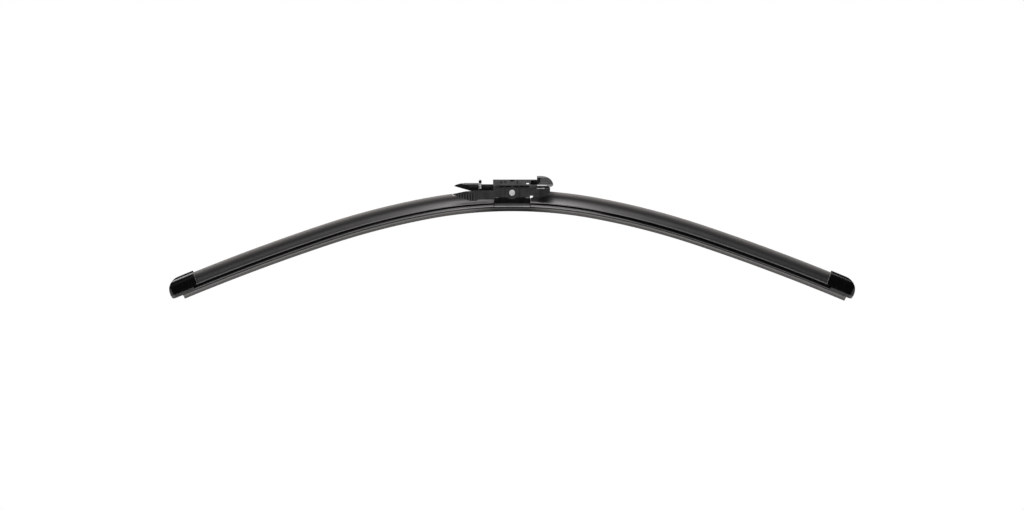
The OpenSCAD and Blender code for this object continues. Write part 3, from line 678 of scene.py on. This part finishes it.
def makeExtruded(name):
    look = extruded[name]
    material, tree, shader = startMaterial(name)
    lines = useGroup(tree, dieLines, Spacing=look["spacing"], Length=look["length"])
    grain = useGroup(tree, mouldGrain, Size=look["grain"], Patch=look["patch"])
    colour = blendColours(tree, lines["Shade"], look["dark"], look["light"])
    for markName, power, strength, tint in look["tints"]:
        share = addMath(tree, "POWER", readMark(tree, markName), power)
        colour = overlay(tree, addMath(tree, "MULTIPLY", share, strength), colour, tint)
    tree.links.new(colour, shader.inputs["Base Color"])
    tree.links.new(rangeOf(tree, grain["Shade"], *look["rough"]), shader.inputs["Roughness"])
    shader.inputs["Specular IOR Level"].default_value = look["specular"]
    addBump(tree, shader, addMath(tree, "ADD", lines["Height"], grain["Height"]), look["depth"])
    return material


# the grip ribs on the pinch tabs, painted lighter where they catch light, with painted shade between
ribs = {"First": -51.8, "Last": -33.9, "Pitch": 2.4, "Width": 1.1, "Foot": -30.0, "Top": -12.8}
shade = {"colour": grey(0.0015), "reach": 1.4, "strength": 0.85}
# dark tone for the painted shade at the slot, in the upright lines and in the short mark, and for the
# darker block
darkTone, foldShade = grey(0.003), grey(0.002)
edgeBreakup = 2.5
# patches are (left, right, foot, top, soft), strength and colour, laid over each other in this order
moulded = {
    "capPlastic": {
        "dark": grey(0.001), "light": grey(0.002), "rough": (0.14, 0.2),
        "grain": 1.6, "patch": 8, "depth": 0.004, "edge": (0.02, 0.02, 0.021), "edgeAmount": 0.3,
        # painted highlights on the caps' lower skirt and round their mouths
        "pale": (0.085, 0.083, 0.083), "mouth": (0.3, 0.29, 0.29)},
    "bracketSteel": {
        "dark": grey(0.03), "light": grey(0.05), "rough": (0.26, 0.4),
        "grain": 0.9, "patch": 5, "depth": 0.01, "edge": grey(0.12), "edgeAmount": 0.6,
        "patches": [
            ((-40, 40, -25, -21.8, 0.3), 1.0, (0.072, 0.071, 0.071)),  # the flange, painted lighter where it is lit
            ((-40, 40, -24.9, -23.85, 0.15), 1.0, (0.42, 0.41, 0.41)),  # painted highlight along its lower rounded edge
            ((16.0, 20, -26, -19, 0.2), 1.0, foldShade),  # its folded ends, in shade
            ((-20, -16.0, -26, -19, 0.2), 1.0, foldShade)]},
    "adapterPlastic": {
        "dark": grey(0.021), "light": grey(0.036), "rough": (0.36, 0.5),
        "grain": 0.35, "patch": 7, "depth": 0.02, "edge": grey(0.11), "edgeAmount": 0.7, "ribs": ribs,
        "patches": [
            ((ribs["First"], ribs["Last"], ribs["Foot"], ribs["Top"], 0.3), 0.7,
             (0.07, 0.069, 0.069)),  # the grip ribs, painted lighter where they catch light
            ((24.4, 60, -30, 0, 0.3), 0.5, darkTone),  # the block, painted darker
            ((-15, 16, -8.2, -6.2, 0.8), 0.75, darkTone),  # painted shade under the slot
            ((-7.0, -6.0, -17, -7.4, 0.3), 0.7, darkTone),  # painted shade in the wall's upright lines
            ((6.2, 7.1, -17, -7.4, 0.3), 0.7, darkTone),
            ((-15, -12.2, -17.4, -16.1, 0.3), 0.8, grey(0.24)),  # painted highlights on the walls' feet
            ((12.4, 16.4, -17.4, -16.1, 0.3), 0.8, grey(0.24)),
            ((22.3, 29.8, -8.7, -7.2, 0.4), 0.85, grey(0.4))]},  # painted highlight along the nose's slot
    "coverPlastic": {
        "dark": grey(0.07), "light": grey(0.1), "rough": (0.36, 0.48),
        "grain": 0.35, "patch": 7, "depth": 0.02, "edge": grey(0.16), "edgeAmount": 0.7,
        "patches": [
            ((-15, 16, -5.9, -5.1, 0.4), 0.8, darkTone),  # painted shade over the slot
            ((-1.5, 1.9, -1.75, -0.3, 0.15), 0.95, foldShade),  # painted shade in the top notch
            ((4.2, 5.3, -3.9, -0.9, 0.3), 0.6, darkTone),  # painted shade in the short mark beside it
            ((22.3, 31.4, -5.65, -4.75, 0.3), 0.9, grey(0.6))]},  # painted highlight over the nose's slot
    "leverPlastic": {
        "dark": grey(0.005), "light": grey(0.01), "rough": (0.22, 0.32),
        "grain": 1.2, "patch": 6, "depth": 0.005, "edge": grey(0.05), "edgeAmount": 0.5},
    # the thumb piece's pale tone is a painted highlight on its ribs
    "thumbPlastic": {
        "dark": (0.55, 0.54, 0.54), "light": (0.7, 0.69, 0.69), "rough": (0.3, 0.42),
        "grain": 0.5, "patch": 2, "depth": 0.01, "edge": grey(0.6), "edgeAmount": 0.5},
    "railSteel": {
        "dark": (0.012, 0.012, 0.013), "light": (0.024, 0.024, 0.026), "rough": (0.3, 0.4),
        "grain": 0.7, "patch": 10, "depth": 0.006, "edge": grey(0.03), "edgeAmount": 0.0},
}


def makeMoulded(name):
    look = moulded[name]
    material, tree, shader = startMaterial(name)
    grain = useGroup(tree, mouldGrain, Size=look["grain"], Patch=look["patch"])
    worn = useGroup(tree, rubbedEdges, Amount=look["edgeAmount"], Breakup=edgeBreakup)
    cavity = useGroup(tree, cavityShade, Reach=shade["reach"], Strength=shade["strength"])
    colour = blendColours(tree, grain["Shade"], look["dark"], look["light"])
    colour = overlay(tree, worn["Mask"], colour, look["edge"])
    for markName in ("pale", "mouth"):
        if markName in look:
            colour = overlay(tree, readMark(tree, markName), colour, look[markName])
    for (left, right, foot, top, soft), strength, tint in look.get("patches", []):
        patch = useGroup(tree, sidePatch, Left=left, Right=right, Foot=foot, Top=top, Soft=soft)["Mask"]
        colour = overlay(tree, addMath(tree, "MULTIPLY", patch, strength), colour, tint)
    if "ribs" in look:
        gaps = useGroup(tree, ribGaps, **look["ribs"])["Mask"]
        colour = overlay(tree, gaps, colour, shade["colour"])
    deep = addMath(tree, "MAXIMUM", cavity["Mask"], readMark(tree, "deep"))
    tree.links.new(overlay(tree, deep, colour, shade["colour"]), shader.inputs["Base Color"])
    tree.links.new(rangeOf(tree, grain["Shade"], *look["rough"]), shader.inputs["Roughness"])
    addBump(tree, shader, grain["Height"], look["depth"])
    return material


turned = {
    "dark": (0.66, 0.645, 0.63), "light": (0.88, 0.87, 0.86), "rough": (0.3, 0.45), "metal": 0.3,
    "grain": 0.6, "patch": 1.5, "ring": 0.12, "depth": 0.003,
}


# bright steel with the rings that a lathe leaves about the pin's axis
def makeTurnedSteel():
    material, tree, shader = startMaterial("turnedSteel")
    centred = addVectorMath(tree, "SUBTRACT", objectPlace(tree), (0, 0, pinZ * mm))[0]
    flat = addVectorMath(tree, "MULTIPLY", centred, (1, 0, 1))[0]
    radius = addVectorMath(tree, "LENGTH", flat)["Value"]
    wave = addMath(tree, "SINE", addMath(tree, "MULTIPLY", radius, 2 * math.pi / (turned["ring"] * mm)))
    grain = useGroup(tree, mouldGrain, Size=turned["grain"], Patch=turned["patch"])
    colour = blendColours(tree, grain["Shade"], turned["dark"], turned["light"])
    tree.links.new(colour, shader.inputs["Base Color"])
    tree.links.new(rangeOf(tree, grain["Shade"], *turned["rough"]), shader.inputs["Roughness"])
    shader.inputs["Metallic"].default_value = turned["metal"]
    addBump(tree, shader, addMath(tree, "ADD", wave, grain["Height"]), turned["depth"])
    return material


finishes = {name: makeExtruded(name) for name in extruded}
finishes.update({name: makeMoulded(name) for name in moulded})
finishes["turnedSteel"] = makeTurnedSteel()
finishOf = {
    "spoiler_left": "spoilerRubber",
    "spoiler_right": "spoilerRubber",
    "wiper_rubber": "lipRubber",
    "end_cap_left": "capPlastic",
    "end_cap_right": "capPlastic",
    "connector_bracket": "bracketSteel",
    "adapter_base": "adapterPlastic",
    "adapter_cover": "coverPlastic",
    "lock_lever": "leverPlastic",
    "thumb_piece": "thumbPlastic",
    "rail_front": "railSteel",
    "rail_rear": "railSteel",
    "pivot_pin": "turnedSteel",
    "spacer_sleeve": "turnedSteel",
}
for node, finish in finishOf.items():
    piece = pieces.get(node, frame["nodes"][node])
    if not piece.material_slots:
        piece.data.materials.append(None)
    for place in piece.material_slots:
        place.material = finishes[finish]
print("finishes made")

studio = {
    "photo": (1024, 510),
    "pixel": 0.911,  # mm of the object in one pixel of the photograph
    "pinPixel": (512.1, 192.9),
    "sensor": 36,
    "distance": 3.0,  # metres, as are the sizes below
    "clip": (0.1, 20),
    "floorZ": -0.36,
    "floorSide": 1.6,
    "floorBack": 0.55,
    "paper": (grey(0.86), grey(0.9)),
    "paperGrain": {"Size": 3.0, "Patch": 200.0},
    "paperRough": 0.8,
    "background": 1.0,
    "ambient": 0.04,
}
# place, aim, width and height, radiance
softboxes = {
    "overhead": ((-0.12, -0.22, 0.9), (-0.12, 0, 0), (1.8, 0.36), 8.0),
    "backWall": ((0, 1.1, 0.45), (0, 0, 0), (2.2, 0.9), 0.25),
    "tableBounce": ((0, -0.15, -0.34), (0, -0.15, 0), (1.8, 0.8), 1.25),
    "frontFill": ((-0.4, -1.6, 1.2), (0, 0, 0), (1.2, 0.7), 0.3),
}


def addToScene(name, data):
    thing = bpy.data.objects.new(name, data)
    bpy.context.scene.collection.objects.link(thing)
    return thing


def makeCamera():
    data = bpy.data.cameras.new("camera")
    camera = addToScene("camera", data)
    (width, height), (pinAcross, pinDown) = studio["photo"], studio["pinPixel"]
    x = (width / 2 - pinAcross) * studio["pixel"] * mm
    z = (pinDown - height / 2) * studio["pixel"] * mm + pinZ * mm
    camera.location = (x, -studio["distance"], z)
    camera.rotation_euler = (math.radians(90), 0, 0)
    data.sensor_width = studio["sensor"]
    data.lens = studio["sensor"] * studio["distance"] / (width * studio["pixel"] * mm)
    data.clip_start, data.clip_end = studio["clip"]
    bpy.context.scene.camera = camera


def addSoftbox(name, place, aim, size, radiance):
    data = bpy.data.lights.new(name, "AREA")
    data.shape = "RECTANGLE"
    data.size, data.size_y = size
    data.energy = radiance * math.pi * size[0] * size[1]
    light = addToScene(name, data)
    light.location = place
    light.rotation_euler = (Vector(aim) - Vector(place)).to_track_quat("-Z", "Y").to_euler()
    light.visible_camera = False


def makeFloor():
    mesh = bpy.data.meshes.new("floor")
    z, side, back = studio["floorZ"], studio["floorSide"], studio["floorBack"]
    verts = [(-side, -side, z), (side, -side, z), (side, back, z), (-side, back, z)]
    mesh.from_pydata(verts, [], [(0, 1, 2, 3)])
    floor = addToScene("floor", mesh)
    material, tree, shader = startMaterial("palePaper")
    grain = useGroup(tree, mouldGrain, **studio["paperGrain"])
    tree.links.new(blendColours(tree, grain["Shade"], *studio["paper"]), shader.inputs["Base Color"])
    shader.inputs["Roughness"].default_value = studio["paperRough"]
    mesh.materials.append(material)


# white behind the object, and dim light from everywhere else
def makeWorld():
    world = bpy.data.worlds.new("studio")
    bpy.context.scene.world = world
    world.use_nodes = True
    tree = world.node_tree
    tree.nodes.clear()
    seen = addNode(tree, "ShaderNodeLightPath").outputs["Is Camera Ray"]
    dim, white = [
        addNode(tree, "ShaderNodeBackground", {"Color": (1, 1, 1, 1), "Strength": strength}).outputs[0]
        for strength in (studio["ambient"], studio["background"])]
    mix = addNode(tree, "ShaderNodeMixShader", {0: seen, 1: dim, 2: white}).outputs[0]
    end = tree.nodes.new("ShaderNodeOutputWorld")
    tree.links.new(mix, end.inputs["Surface"])


makeCamera()
makeFloor()
makeWorld()
for name, softbox in softboxes.items():
    addSoftbox(name, *softbox)
bpy.context.scene.view_settings.view_transform = "Standard"
bpy.context.scene.view_settings.look = "None"
print("studio set")
